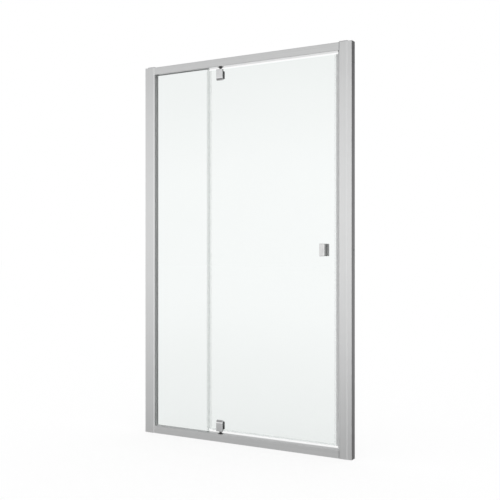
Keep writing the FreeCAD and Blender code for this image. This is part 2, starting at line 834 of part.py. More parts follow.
def door_seals():
    """Seals on the door pane's two upright edges and on its bottom edge."""
    closing = new_body("door_magnet_seal", along="door_right")
    case = "-magnet_case_depth"
    outline = both_halves([
        (f"{case} - seal_wall", "-seal_inner"),
        (f"{case} - magnet_seal_leg", "-seal_inner"),
        (f"{case} - magnet_seal_leg", "-seal_half"),
        (case, "-seal_half"),
        (case, "-magnet_case_width / 2"),
        ("-seal_wall", "-magnet_case_width / 2", "seal_wall"),
        ("0", "-magnet_case_width / 2 + seal_wall"),
    ])
    hollow = box_loop(
        f"{case} + seal_wall", "-seal_wall",
        "-magnet_case_width / 2 + seal_wall", "magnet_case_width / 2 - seal_wall",
    )
    extrude(closing, "seal", "z", [outline, hollow], "door_seal_bottom", "door_glass_top")
    start = "door_right - magnet_case_depth + seal_wall + snug_gap"
    magnet_bar("door_magnet", start, "door_seal_bottom", "door_glass_top")

    pivot_side = new_body("door_pivot_edge_seal", along="door_left")
    finned = [
        ("0", "-seal_half"),
        ("pivot_seal_leg", "-seal_half"),
        ("pivot_seal_leg", "-seal_inner"),
        ("seal_wall", "-seal_inner"),
        ("seal_wall", "seal_inner"),
        ("pivot_seal_leg", "seal_inner"),
        ("pivot_seal_leg", "seal_half"),
        ("2 * seal_wall", "seal_half"),
        ("0", "fin_back"),
        ("-fin_reach", "fin_back"),
        ("-fin_reach", "fin_front"),
        ("-seal_wall", "fin_front"),
        ("0", "seal_half"),
    ]
    extrude(pivot_side, "seal", "z", [finned], "door_glass_bottom", "door_glass_top")

    drip = [
        ("-seal_half", "0"),
        ("0", "0"),
        ("drip_reach", "-drip_drop"),
        ("drip_reach + drip_thick", "-drip_drop"),
        ("2 * drip_thick", "0"),
        ("seal_half", "0"),
        ("seal_half", "bottom_seal_leg"),
        ("seal_inner", "bottom_seal_leg"),
        ("seal_inner", "seal_wall"),
        ("-seal_inner", "seal_wall"),
        ("-seal_inner", "bottom_seal_leg"),
        ("-seal_half", "bottom_seal_leg"),
    ]
    spans = {
        "short": ("door_left + pivot_seal_leg + clear_gap", "pivot_x - hinge_half - clear_gap"),
        "long": (
            "pivot_x + hinge_half + clear_gap",
            "door_right - magnet_case_depth - magnet_seal_leg - clear_gap",
        ),
    }
    for length, (start, end) in spans.items():
        bottom = new_body(f"door_bottom_seal_{length}", up="door_seal_bottom")
        extrude(bottom, "seal", "x", [drip], start, end)


def hinge_cover(label, place):
    """Front half of a hinge, with a sloped far end and the boss that fills the glass's notch.

    Every hinge piece starts at the hinge's end by the rail and runs away from it.
    """
    body = new_body(label, **place)
    profile = [
        ("-cover_back", "0"),
        ("-cover_front + cover_nose", "0", "-cover_nose"),
        ("-cover_front", "cover_nose"),
        ("-cover_front", "cover_slope_start", "-cover_slope_round"),
        ("-cover_end_front", "cover_height"),
        ("-cover_back", "cover_height"),
    ]
    extrude(body, "cover", "x", [profile], "-hinge_half", "hinge_half")
    dress_edges(
        body, "PartDesign::Fillet", "side_rounds", "cover_round",
        lambda edge: near(edge.BoundBox.XMin, edge.BoundBox.XMax)
        and edge.BoundBox.YMin < -size("cover_end_front") - 0.5
        and edge.Length > size("cover_slope_run") - 1,
    )
    boss = box_loop("-boss_half", "boss_half", "0", "boss_height")
    extrude(body, "boss", "y", [boss], "-cover_back", "boss_back")
    bore = [("0", "0", "pin_bore")]
    extrude(body, "pin_bore", "z", bore, "0", "pin_in_boss + snug_gap", cut=True)
    threads = [
        (f"{sign}hinge_screw_offset", "hinge_screw_height", "hinge_screw_radius + snug_gap / 2")
        for sign in ("", "-")
    ]
    extrude(body, "screw_holes", "y", threads, "-hinge_screw_end - snug_gap", "boss_back", cut=True)


def hinge_plate(label, place):
    """Back half of a hinge, which clamps the glass, with two countersunk screw holes."""
    body = new_body(label, **place)
    outline = box_loop("-hinge_half", "hinge_half", "plate_start", "plate_end")
    extrude(body, "plate", "y", [outline], "cover_back", "plate_back")
    dress_edges(
        body, "PartDesign::Fillet", "back_rounds", "cover_round",
        lambda edge: near(edge.BoundBox.YMin, size("plate_back"))
        or (edge.BoundBox.YLength > 1 and near(edge.BoundBox.YMax, size("plate_back"))),
    )
    clear = "hinge_screw_radius + clear_gap"
    holes = [(f"{sign}hinge_screw_offset", "hinge_screw_height", clear) for sign in ("", "-")]
    extrude(body, "screw_holes", "y", holes, "cover_back", "plate_back", cut=True)
    dress_edges(
        body, "PartDesign::Chamfer", "countersinks", "hinge_screw_cone + snug_gap",
        lambda edge: near(edge.BoundBox.YMin, size("plate_back"))
        and near(edge.Length, math.tau * size(clear)),
    )


def hinge_gasket(label, place, low, high, front, back):
    """Thin pad between a hinge half and the glass, with a notch round the boss."""
    body = new_body(label, **place)
    side, inner = "hinge_half - clear_gap", "boss_half + clear_gap"
    outline = [
        (f"-({side})", low),
        (f"-({inner})", low),
        (f"-({inner})", "boss_height + clear_gap"),
        (inner, "boss_height + clear_gap"),
        (inner, low),
        (side, low),
        (side, high),
        (f"-({side})", high),
    ]
    extrude(body, "pad", "y", [outline], front, back)


def pivot_pin(label, place):
    """Stepped steel pin: one end is held in the hinge's boss, the other turns in the socket."""
    body = new_body(label, **place)
    half_section = [
        ("0", "-pin_reach"),
        ("pin_radius - pin_chamfer", "-pin_reach"),
        ("pin_radius", "-pin_reach + pin_chamfer"),
        ("pin_radius", "-shoulder_length"),
        ("shoulder_radius", "-shoulder_length"),
        ("shoulder_radius", "-butt_gap"),
        ("pin_radius", "-butt_gap"),
        ("pin_radius", "pin_in_boss - pin_chamfer"),
        ("pin_radius - pin_chamfer", "pin_in_boss"),
        ("0", "pin_in_boss"),
    ]
    spin(body, "pin", half_section)


def hinge_screws(label, place):
    """Two countersunk screws that clamp the hinge halves together through the notch."""
    body = new_body(label, **place)
    spot = ("hinge_screw_offset", "hinge_screw_height")
    top = "plate_back - snug_gap"
    seat = f"{top} - hinge_screw_cone - butt_gap"
    head = extrude(body, "head", "y", [(*spot, "hinge_screw_head_radius")], seat, top)
    cone = dress_edges(
        body, "PartDesign::Chamfer", "cone", "hinge_screw_cone",
        lambda edge: near(edge.BoundBox.YMax, size(seat)),
    )
    shank = extrude(body, "shank", "y", [(*spot, "hinge_screw_radius")], "-hinge_screw_end", seat)
    mirror_across(body, "pair", [head, cone, shank], "x")


def hinge(name, up, turned):
    """One complete hinge, from the pieces that clamp the glass to the pin."""
    place = {"along": "pivot_x", "up": up, "turned": turned}
    hinge_cover(f"{name}_hinge_cover", place)
    hinge_plate(f"{name}_hinge_plate", place)
    glass_start = "door_bottom_gap - hinge_gap + seal_wall + snug_gap"
    hinge_gasket(
        f"{name}_hinge_front_gasket", place, glass_start, "cover_height - clear_gap",
        "-cover_back + gasket_slack", "-glass_half - gasket_slack",
    )
    hinge_gasket(
        f"{name}_hinge_back_gasket", place, "plate_start + clear_gap", "plate_end - clear_gap",
        "glass_half + gasket_slack", "cover_back - gasket_slack",
    )
    pivot_pin(f"{name}_pivot_pin", place)
    hinge_screws(f"{name}_hinge_screws", place)


def pivot_socket(name, up, turned):
    """Bearing block that sits in a rail's groove, and the thrust washer on it."""
    place = {"along": "pivot_x", "up": up, "turned": turned}
    body = new_body(f"{name}_pivot_socket", **place)
    block = box_loop("-socket_half", "socket_half", "-gasket_half", "gasket_half")
    extrude(body, "block", "z", [block], "socket_bottom", "rail_height")
    disc = [("0", "0", "socket_flange_radius")]
    extrude(body, "flange", "z", disc, "rail_height + butt_gap", "socket_top")
    neck = [("0", "0", "gasket_half")]
    extrude(body, "neck", "z", neck, "socket_bottom", "socket_top")
    bore = [("0", "0", "pin_bore")]
    extrude(body, "bore", "z", bore, "socket_top - socket_bore_depth", "socket_top", cut=True)

    washer = new_body(f"{name}_pivot_washer", **place)
    low = "socket_top + butt_gap"
    inner, outer = "pin_radius + washer_bore_gap", "washer_radius"
    half_section = [
        (inner, low),
        (outer, low),
        (outer, f"{low} + washer_thick"),
        (inner, f"{low} + washer_thick"),
    ]
    spin(washer, "washer", half_section)


def knob():
    """Double-sided knob with pads against the glass, and the stud that joins its halves."""
    place = {"along": "knob_x", "up": "knob_centre_height"}
    block = rounded_box_loop("knob_width / 2", "knob_height / 2", "knob_corner")
    margin = "knob_gasket_margin"
    pad = rounded_box_loop(
        f"(knob_width / 2 - {margin})", f"(knob_height / 2 - {margin})", "knob_corner"
    )
    bore = [("0", "0", "stud_radius + snug_gap")]
    for name, sign in (("front", "-"), ("back", "")):
        half = new_body(f"knob_{name}", **place)
        span = [f"{sign}knob_face", f"{sign}knob_back_face"]
        start, end = span if sign else span[::-1]
        extrude(half, "block", "y", [block], start, end)
        outer = size(f"{sign}knob_face")
        dress_edges(
            half, "PartDesign::Fillet", "face_rounds", "knob_edge_round",
            lambda edge: near(edge.BoundBox.YMin, outer) and near(edge.BoundBox.YMax, outer),
        )
        deep = [f"{sign}(knob_back_face + stud_bore_depth)", f"{sign}knob_back_face"]
        start, end = deep if sign else deep[::-1]
        extrude(half, "stud_bore", "y", bore, start, end, cut=True)
        if name == "back":
            grub_hole = [("0", "grub_depth", "grub_radius + snug_gap")]
            extrude(half, "grub_hole", "z", grub_hole, "-knob_height / 2", "0", cut=True)
        gasket = new_body(f"knob_{name}_gasket", **place)
        faces = [
            f"{sign}(knob_back_face - knob_gasket_slack)", f"{sign}(glass_half + knob_gasket_slack)"
        ]
        start, end = faces if sign else faces[::-1]
        extrude(gasket, "pad", "y", [pad, ("0", "0", "stud_radius + clear_gap")], start, end)

    stud = new_body("knob_stud", **place)
    reach = "(knob_back_face + stud_bore_depth - clear_gap)"
    extrude(stud, "stud", "y", [("0", "0", "stud_radius")], f"-{reach}", reach)
    sleeve = new_body("knob_sleeve", **place)
    ring = [("0", "0", "sleeve_radius"), ("0", "0", "stud_radius + snug_gap")]
    extrude(sleeve, "sleeve", "y", ring, "-glass_half", "glass_half")
    grub = new_body("knob_grub_screw", **place)
    tip = "-stud_radius - snug_gap / 2"
    barrel = [("0", "grub_depth", "grub_radius")]
    extrude(grub, "screw", "z", barrel, f"{tip} - grub_length", tip)


def check_document():
    """Stop if an object failed, a pocket cut nothing or a sub-part isn't sound."""
    for item in doc.Objects:
        if {"Invalid", "Error"} & set(item.State):
            raise RuntimeError(f"{item.Label} failed: {item.State}")
        if item.TypeId == "PartDesign::Pocket":
            before, after = item.BaseFeature.Shape.Volume, item.Shape.Volume
            if after >= before:
                raise RuntimeError(f"{item.Label} cuts nothing")
    for piece in subparts:
        if piece.Shape.isNull() or not piece.Shape.isValid():
            raise RuntimeError(f"{piece.Label} has no sound shape")


def main():
    """Build every sub-part of the frame and the door, and write each to its own file."""
    fill_sheet()
    for side in ("left", "right"):
        wall_channel(side)
        post(side)
        post_cap(side)
        corner_screws(side)
        lock_screws(side)
    rail("sill_rail", "0", "")
    rail("header_rail", "header_top", "x")
    fixed_glass()
    glazing_gaskets()
    edge_trim()
    infill_strips()
    strike()
    pivot_socket("lower", "0", "")
    pivot_socket("upper", "header_top", "y")
    door_glass()
    door_seals()
    hinge("lower", "lower_hinge", "")
    hinge("upper", "upper_hinge", "y")
    knob()
    doc.recompute()
    check_document()
    os.makedirs("parts", exist_ok=True)
    for piece in subparts:
        piece.Shape.exportStep(os.path.join("parts", piece.Label + ".step"))
        print(f"{piece.Label}: {len(piece.Shape.Solids)} solids, {piece.Shape.Volume:.0f} mm3")


main()
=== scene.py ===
"""Looks of the pivot shower door: satin aluminium frame, clear safety glass and polished fittings.

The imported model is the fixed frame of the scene, and every length is in metres. X runs along the
width from wall to wall, Y from the outside of the enclosure to its inside, and Z up from the floor.
"""
import logging
import math
from dataclasses import dataclass
from enum import Enum

import bmesh
import bpy
from mathutils import Matrix, Vector


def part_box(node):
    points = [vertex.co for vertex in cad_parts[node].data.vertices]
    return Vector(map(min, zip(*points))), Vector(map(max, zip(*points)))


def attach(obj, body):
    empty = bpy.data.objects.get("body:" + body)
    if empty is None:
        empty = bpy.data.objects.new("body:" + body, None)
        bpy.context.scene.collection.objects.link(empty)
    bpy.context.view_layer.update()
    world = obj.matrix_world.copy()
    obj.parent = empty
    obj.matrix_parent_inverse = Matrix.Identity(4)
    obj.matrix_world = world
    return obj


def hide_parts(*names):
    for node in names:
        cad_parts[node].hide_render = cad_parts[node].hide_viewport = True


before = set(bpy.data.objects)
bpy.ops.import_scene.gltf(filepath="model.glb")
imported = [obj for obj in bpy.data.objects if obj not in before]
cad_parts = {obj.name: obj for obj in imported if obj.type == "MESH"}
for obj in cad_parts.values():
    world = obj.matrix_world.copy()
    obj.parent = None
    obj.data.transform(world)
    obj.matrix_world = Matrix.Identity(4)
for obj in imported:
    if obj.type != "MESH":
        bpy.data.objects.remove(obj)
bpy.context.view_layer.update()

MM = 0.001
SMOOTH_UP_TO = math.radians(32)
SAME_HEIGHT = 1e-9
LEAST_SINE = 1e-6

log = logging.getLogger("shower_door")

Colour = tuple[float, float, float]
Point = tuple[float, float, float]
Curve = tuple[tuple[float, float], ...]
Faces = list[list[int]]
Socket = bpy.types.NodeSocket
Value = float | Socket
Tint = Colour | Socket

PALE: Colour = (0.92, 0.93, 0.93)
PALE_WORN: Colour = (0.95, 0.96, 0.96)
WHITE: tuple[float, float, float, float] = (1.0, 1.0, 1.0, 1.0)


class Body(Enum):
    """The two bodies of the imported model."""

    FRAME = "frame"
    DOOR = "door"


class Run(Enum):
    """The axis that an extruded piece runs along."""

    LEVEL = 0
    UPRIGHT = 2


class Side(Enum):
    """The two sides of the frame, as the names of their pieces begin."""

    LEFT = "left"
    RIGHT = "right"


class End(Enum):
    """The two ends of the door that turn on a pivot, as the names of their pieces begin."""

    LOWER = "lower"
    UPPER = "upper"


class NodeSheet:
    """Adds, sets and links the nodes of one node tree."""

    def __init__(self, tree: bpy.types.NodeTree) -> None:
        """Start a sheet.

        Args:
            tree: the node tree to write to.
        """
        self.tree = tree

    def add(self, kind: str, inputs: dict[str | int, object] | None = None,
            **settings: object) -> bpy.types.Node:
        """Add one node.

        Args:
            kind: the node's type, without its ShaderNode prefix.
            inputs: sockets by name or number, each with a value or the socket that feeds it.
            settings: properties of the node.

        Returns:
            The new node.
        """
        node = self.tree.nodes.new("ShaderNode" + kind)
        for name, value in settings.items():
            setattr(node, name, value)
        for name, value in (inputs or {}).items():
            if isinstance(value, Socket):
                self.tree.links.new(value, node.inputs[name])
            else:
                node.inputs[name].default_value = value
        return node

    def sum(self, kind: str, first: Value, second: Value = 0.0, third: Value = 0.0,
            clamp: bool = False) -> Socket:
        """Work out one value from one, two or three.

        Args:
            kind: the operation of the Math node.
            first: a value or socket.
            second: a value or socket, for operations that take two.
            third: a value or socket, for operations that take three.
            clamp: whether the result stays from 0 to 1.

        Returns:
            The socket with the result.
        """
        values = {0: first, 1: second, 2: third}
        return self.add("Math", values, operation=kind, use_clamp=clamp).outputs[0]

    def spread(self, value: Socket, low: float, high: float) -> Socket:
        """Spread a value from 0 to 1 over a new range.

        Args:
            value: the socket to spread.
            low: the result at 0.
            high: the result at 1.

        Returns:
            The socket with the result.
        """
        return self.sum("MULTIPLY_ADD", value, high - low, low)

    def curve(self, value: Socket, stops: Curve) -> Socket:
        """Turn a value into another by a smooth curve.

        Args:
            value: the socket to turn.
            stops: pairs of a value and the result there, from the lowest value up.

        Returns:
            The socket with the result.
        """
        low, high = stops[0][0], stops[-1][0]
        top = max(level for _, level in stops)
        share = self.add("MapRange", {"Value": value, "From Min": low, "From Max": high})
        ramp = self.add("ValToRGB", {0: share.outputs[0]})
        ramp.color_ramp.interpolation = "EASE"
        points = ramp.color_ramp.elements
        while len(points) < len(stops):
            points.new(0.5)
        for point, (place, level) in zip(points, stops):
            point.position = (place - low) / (high - low)
            point.color = (level / top, level / top, level / top, 1.0)
        return self.sum("MULTIPLY", ramp.outputs["Color"], top)

    def blend(self, share: Value, first: Tint, second: Tint) -> Socket:
        """Blend two colours.

        Args:
            share: how much of the second colour, from 0 to 1.
            first: a colour or socket.
            second: a colour or socket.

        Returns:
            The socket with the blended colour.
        """
        node = self.add("Mix", data_type="RGBA", clamp_factor=True)
        for place, value in ((0, share), (6, first), (7, second)):
            if isinstance(value, Socket):
                self.tree.links.new(value, node.inputs[place])
            else:
                node.inputs[place].default_value = value if place == 0 else (*value, 1.0)
        return node.outputs[2]


class Effect:
    """A shading effect that several materials share, built once as a node group."""

    name = ""
    takes: dict[str, str] = {}
    gives: dict[str, str] = {}

    def tree(self) -> bpy.types.NodeTree:
        """Give the effect's node group, and build it the first time.

        Returns:
            The node group.
        """
        found = bpy.data.node_groups.get(self.name)
        if found:
            return found
        group = bpy.data.node_groups.new(self.name, "ShaderNodeTree")
        for title, kind in self.takes.items():
            group.interface.new_socket(title, in_out="INPUT", socket_type=kind)
        for title, kind in self.gives.items():
            group.interface.new_socket(title, in_out="OUTPUT", socket_type=kind)
        entry = group.nodes.new("NodeGroupInput")
        exit_node = group.nodes.new("NodeGroupOutput")
        results = self.fill(NodeSheet(group), entry.outputs)
        for title, socket in results.items():
            group.links.new(socket, exit_node.inputs[title])
        return group

    def fill(self, sheet: NodeSheet, given: bpy.types.NodeOutputs) -> dict[str, Socket]:
        """Build the group's own nodes.

        Args:
            sheet: the sheet to add nodes to.
            given: the group's input sockets by title.

        Returns:
            The socket that feeds each output.
        """
        raise NotImplementedError

    def place(self, sheet: NodeSheet, **values: Value | list[float]) -> bpy.types.Node:
        """Place the effect in a material.

        Args:
            sheet: the material's sheet.
            values: the effect's inputs by title, each a value or a socket.

        Returns:
            The group node.
        """
        node = sheet.add("Group", node_tree=self.tree())
        for title, value in values.items():
            socket = node.inputs[title]
            if isinstance(value, Socket):
                sheet.tree.links.new(value, socket)
            else:
                socket.default_value = value
        return node


class DrawnLines(Effect):
    """Fine lines that a die or a brush leaves along a piece."""

    name = "drawn_lines"
    takes = {"Place": "NodeSocketVector", "Across": "NodeSocketVector"}
    gives = {"Shade": "NodeSocketFloat", "Height": "NodeSocketFloat"}
    broad_scale = 0.11

    def fill(self, sheet: NodeSheet, given: bpy.types.NodeOutputs) -> dict[str, Socket]:
        """Build the lines as two layers of stretched noise.

        Args:
            sheet: the sheet to add nodes to.
            given: the group's input sockets by title.

        Returns:
            The shade from 0 to 1, and the height.
        """
        stretched = sheet.add(
            "VectorMath", {0: given["Place"], 1: given["Across"]}, operation="MULTIPLY"
        ).outputs[0]
        fine = sheet.add("TexNoise", {"Vector": stretched, "Scale": 1.0, "Detail": 3.0})
        broad = sheet.add(
            "TexNoise", {"Vector": stretched, "Scale": self.broad_scale, "Detail": 1.0}
        )
        half = sheet.sum("MULTIPLY", broad.outputs[0], 0.5)
        mixed = sheet.sum("MULTIPLY_ADD", fine.outputs[0], 0.5, half)
        shade = sheet.add(
            "MapRange", {"Value": mixed, "From Min": 0.3, "From Max": 0.7}, clamp=True
        ).outputs[0]
        return {"Shade": shade, "Height": fine.outputs[0]}


class SoftEdges(Effect):
    """The small round that every real edge has, and where it lies."""

    name = "soft_edges"
    takes = {"Radius": "NodeSocketFloat"}
    gives = {"Edge": "NodeSocketFloat", "Normal": "NodeSocketVector"}

    def fill(self, sheet: NodeSheet, given: bpy.types.NodeOutputs) -> dict[str, Socket]:
        """Compare the rounded normal with the plain one.

        Args:
            sheet: the sheet to add nodes to.
            given: the group's input sockets by title.

        Returns:
            The edge mask and the rounded normal.
        """
        rounded = sheet.add("Bevel", {"Radius": given["Radius"]}, samples=6).outputs[0]
        plain = sheet.add("NewGeometry").outputs["Normal"]
        along = sheet.add("VectorMath", {0: rounded, 1: plain}, operation="DOT_PRODUCT")
        edge = sheet.add(
            "MapRange",
            {"Value": along.outputs["Value"], "From Min": 0.995, "From Max": 0.75},
            clamp=True,
        ).outputs[0]
        return {"Edge": edge, "Normal": rounded}


class Marks(Effect):
    """Faint uneven patches, as handling and water leave on a smooth surface."""

    name = "handling_marks"
    takes = {"Place": "NodeSocketVector", "Scale": "NodeSocketFloat"}
    gives = {"Mask": "NodeSocketFloat"}

    def fill(self, sheet: NodeSheet, given: bpy.types.NodeOutputs) -> dict[str, Socket]:
        """Build the patches from distorted noise.

        Args:
            sheet: the sheet to add nodes to.
            given: the group's input sockets by title.

        Returns:
            The mask of the patches.
        """
        noise = sheet.add(
            "TexNoise",
            {
                "Vector": given["Place"], "Scale": given["Scale"], "Detail": 5.0,
                "Roughness": 0.6, "Distortion": 0.8,
            },
        )
        mask = sheet.add(
            "MapRange", {"Value": noise.outputs[0], "From Min": 0.42, "From Max": 0.72}, clamp=True
        ).outputs[0]
        return {"Mask": mask}


class Dust(Effect):
    """Fine dust that settles on faces that look up."""

    name = "settled_dust"
    takes = {"Place": "NodeSocketVector"}
    gives = {"Mask": "NodeSocketFloat"}

    def fill(self, sheet: NodeSheet, given: bpy.types.NodeOutputs) -> dict[str, Socket]:
        """Build the dust from the normal's height and fine noise.

        Args:
            sheet: the sheet to add nodes to.
            given: the group's input sockets by title.

        Returns:
            The mask of the dust.
        """
        normal = sheet.add("NewGeometry").outputs["Normal"]
        upward = sheet.add("SeparateXYZ", {0: normal}).outputs["Z"]
        level = sheet.add(
            "MapRange", {"Value": upward, "From Min": 0.6, "From Max": 1.0}, clamp=True
        ).outputs[0]
        noise = sheet.add("TexNoise", {"Vector": given["Place"], "Scale": 60.0, "Detail": 4.0})
        return {"Mask": sheet.sum("MULTIPLY", level, noise.outputs[0])}


def start_material(name: str) -> tuple[bpy.types.Material, NodeSheet, bpy.types.Node]:
    """Start a material with an empty tree and its output.

    Args:
        name: the material's name.

    Returns:
        The material, its sheet and its output node.
    """
    material = bpy.data.materials.new(name)
    material.use_nodes = True
    material.node_tree.nodes.clear()
    sheet = NodeSheet(material.node_tree)
    return material, sheet, sheet.add("OutputMaterial")


@dataclass(frozen=True)
class SatinAluminium:
    """Bead-blasted, clear-anodised aluminium with faint die lines along the extrusion."""

    name: str
    run: Run
    tint: Colour = (0.76, 0.765, 0.765)
    light_tint: Colour = (0.81, 0.815, 0.815)
    roughness: tuple[float, float] = (0.27, 0.34)
    dust_roughness: float = 0.12
    lines_per_metre: float = 1400.0
    lines_along: float = 4.0
    line_strength: float = 0.35
    line_depth: float = 0.012 * MM
    mark_scale: float = 9.0
    mark_share: float = 0.35
    edge_radius: float = 0.35 * MM
    # Painted highlight on the edges: the pale tint that they are lightened towards, and how far.
    edge_tint: Colour = (0.94, 0.94, 0.94)
    edge_share: float = 0.75

    def build(self) -> bpy.types.Material:
        """Build the material.

        Returns:
            The material.
        """
        material, sheet, output = start_material(self.name)
        place = sheet.add("TexCoord").outputs["Object"]
        across = [self.lines_per_metre] * 3
        across[self.run.value] = self.lines_along
        lines = DrawnLines().place(sheet, Place=place, Across=across)
        edges = SoftEdges().place(sheet, Radius=self.edge_radius)
        dust = Dust().place(sheet, Place=place)
        marks = Marks().place(sheet, Place=place, Scale=self.mark_scale)
        shade = sheet.sum(
            "MULTIPLY_ADD", marks.outputs["Mask"], self.mark_share, lines.outputs["Shade"]
        )
        tint = sheet.blend(shade, self.tint, self.light_tint)
        # Painted highlight: the edges that the Bevel node finds are lightened towards the pale edge
        # tint, as if they caught the light.
        edge = sheet.sum("MULTIPLY", edges.outputs["Edge"], self.edge_share)
        tint = sheet.blend(edge, tint, self.edge_tint)
        roughness = sheet.spread(lines.outputs["Shade"], *self.roughness)
        roughness = sheet.sum(
            "MULTIPLY_ADD", dust.outputs["Mask"], self.dust_roughness, roughness, clamp=True
        )
        relief = sheet.add(
            "Bump",
            {
                "Height": lines.outputs["Height"], "Normal": edges.outputs["Normal"],
                "Strength": self.line_strength, "Distance": self.line_depth,
            },
        )
        shader = sheet.add(
            "BsdfPrincipled",
            {
                "Base Color": tint, "Metallic": 1.0, "Roughness": roughness,
                "Normal": relief.outputs[0],
            },
        )
        sheet.tree.links.new(shader.outputs[0], output.inputs["Surface"])
        return material


@dataclass(frozen=True)
class BrightMetal:
    """Plating or plain steel, with handling marks that dull it here and there."""

    name: str
    tint: Colour = (0.86, 0.865, 0.87)
    dull_tint: Colour = (0.80, 0.81, 0.815)
    roughness: tuple[float, float] = (0.07, 0.16)
    mark_scale: float = 60.0
    peel_scale: float = 420.0
    peel_strength: float = 0.08
    peel_depth: float = 0.02 * MM
    edge_radius: float = 0.3 * MM

    def build(self) -> bpy.types.Material:
        """Build the material.

        Returns:
            The material.
        """
        material, sheet, output = start_material(self.name)
        place = sheet.add("TexCoord").outputs["Object"]
        marks = Marks().place(sheet, Place=place, Scale=self.mark_scale)
        edges = SoftEdges().place(sheet, Radius=self.edge_radius)
        tint = sheet.blend(marks.outputs["Mask"], self.tint, self.dull_tint)
        peel = sheet.add("TexNoise", {"Vector": place, "Scale": self.peel_scale, "Detail": 2.0})
        relief = sheet.add(
            "Bump",
            {
                "Height": peel.outputs[0], "Normal": edges.outputs["Normal"],
                "Strength": self.peel_strength, "Distance": self.peel_depth,
            },
        )
        shader = sheet.add(
            "BsdfPrincipled",
            {
                "Base Color": tint, "Metallic": 1.0, "Normal": relief.outputs[0],
                "Roughness": sheet.spread(marks.outputs["Mask"], *self.roughness),
            },
        )
        sheet.tree.links.new(shader.outputs[0], output.inputs["Surface"])
        return material


@dataclass(frozen=True)
class SafetyGlass:
    """Clear toughened glass, faintly green in its depth, with a slight roller wave.

    A painted shade darkens its tint above and below the height `middle`, in full at the distance
    `reach`, and faint handling marks darken it here and there. Its edges are the faces whose normal
    has less than `least_facing` along Y.
    """

    name: str = "safety_glass_clear"
    tint: Colour = (0.958, 0.966, 0.963)
    # The darker tint of the painted shade and of the handling marks.
    shade_and_marks_tint: Colour = (0.915, 0.927, 0.922)
    lamp_tint: Colour = (0.94, 0.955, 0.95)
    edge_tint: Colour = (0.93, 0.975, 0.96)
    inner_tint: Colour = (0.25, 0.70, 0.55)
    inner_density: float = 6.0
    index: float = 1.5
    middle: float = 1.05
    reach: float = 0.95
    painted_shade_start: float = 0.25
    mark_scale: float = 3.0
    mark_share: float = 0.15
    wave_scale: float = 3.5
    wave_strength: float = 0.2
    wave_depth: float = 0.2 * MM
    least_facing: float = 0.9

    def build(self) -> bpy.types.Material:
        """Build the material. Lamps shine through it, and its edges let light straight in.

        Returns:
            The material.
        """
        material, sheet, output = start_material(self.name)
        place = sheet.add("TexCoord").outputs["Object"]
        marks = Marks().place(sheet, Place=place, Scale=self.mark_scale)
        wave = sheet.add("TexNoise", {"Vector": place, "Scale": self.wave_scale, "Detail": 1.0})
        relief = sheet.add(
            "Bump",
            {
                "Height": wave.outputs[0], "Strength": self.wave_strength,
                "Distance": self.wave_depth,
            },
        )
        # Painted shade: the glass's tint darkens above and below the height `middle`, and the
        # handling marks are added on top.
        height = sheet.add("SeparateXYZ", {0: place}).outputs["Z"]
        off_middle = sheet.sum("ABSOLUTE", sheet.sum("SUBTRACT", height, self.middle))
        painted_shade_and_marks = sheet.add(
            "MapRange",
            {
                "Value": off_middle, "From Min": self.painted_shade_start * self.reach,
                "From Max": self.reach,
            },
            clamp=True, interpolation_type="SMOOTHSTEP",
        ).outputs[0]
        painted_shade_and_marks = sheet.sum(
            "MULTIPLY_ADD", marks.outputs["Mask"], self.mark_share, painted_shade_and_marks, clamp=True
        )
        glass = sheet.add(
            "BsdfPrincipled",
            {
                "Base Color": sheet.blend(painted_shade_and_marks, self.tint, self.shade_and_marks_tint), "Roughness": 0.0,
                "IOR": self.index, "Transmission Weight": 1.0, "Normal": relief.outputs[0],
            },
        )
        facing = sheet.add("SeparateXYZ", {0: sheet.add("TexCoord").outputs["Normal"]})
        across = sheet.sum("ABSOLUTE", facing.outputs["Y"])
        edge = sheet.sum("LESS_THAN", across, self.least_facing)
        clear = sheet.add(
            "BsdfTransparent", {"Color": sheet.blend(edge, self.lamp_tint, self.edge_tint)}
        )
        lamp_ray = sheet.add("LightPath").outputs["Is Shadow Ray"]
        straight = sheet.sum("MAXIMUM", lamp_ray, edge)
        surface = sheet.add("MixShader", {0: straight, 1: glass.outputs[0], 2: clear.outputs[0]})
        inside = sheet.add(
            "VolumeAbsorption",
            {"Color": (*self.inner_tint, 1.0), "Density": self.inner_density},
        )
        sheet.tree.links.new(surface.outputs[0], output.inputs["Surface"])
        sheet.tree.links.new(inside.outputs[0], output.inputs["Volume"])
        return material


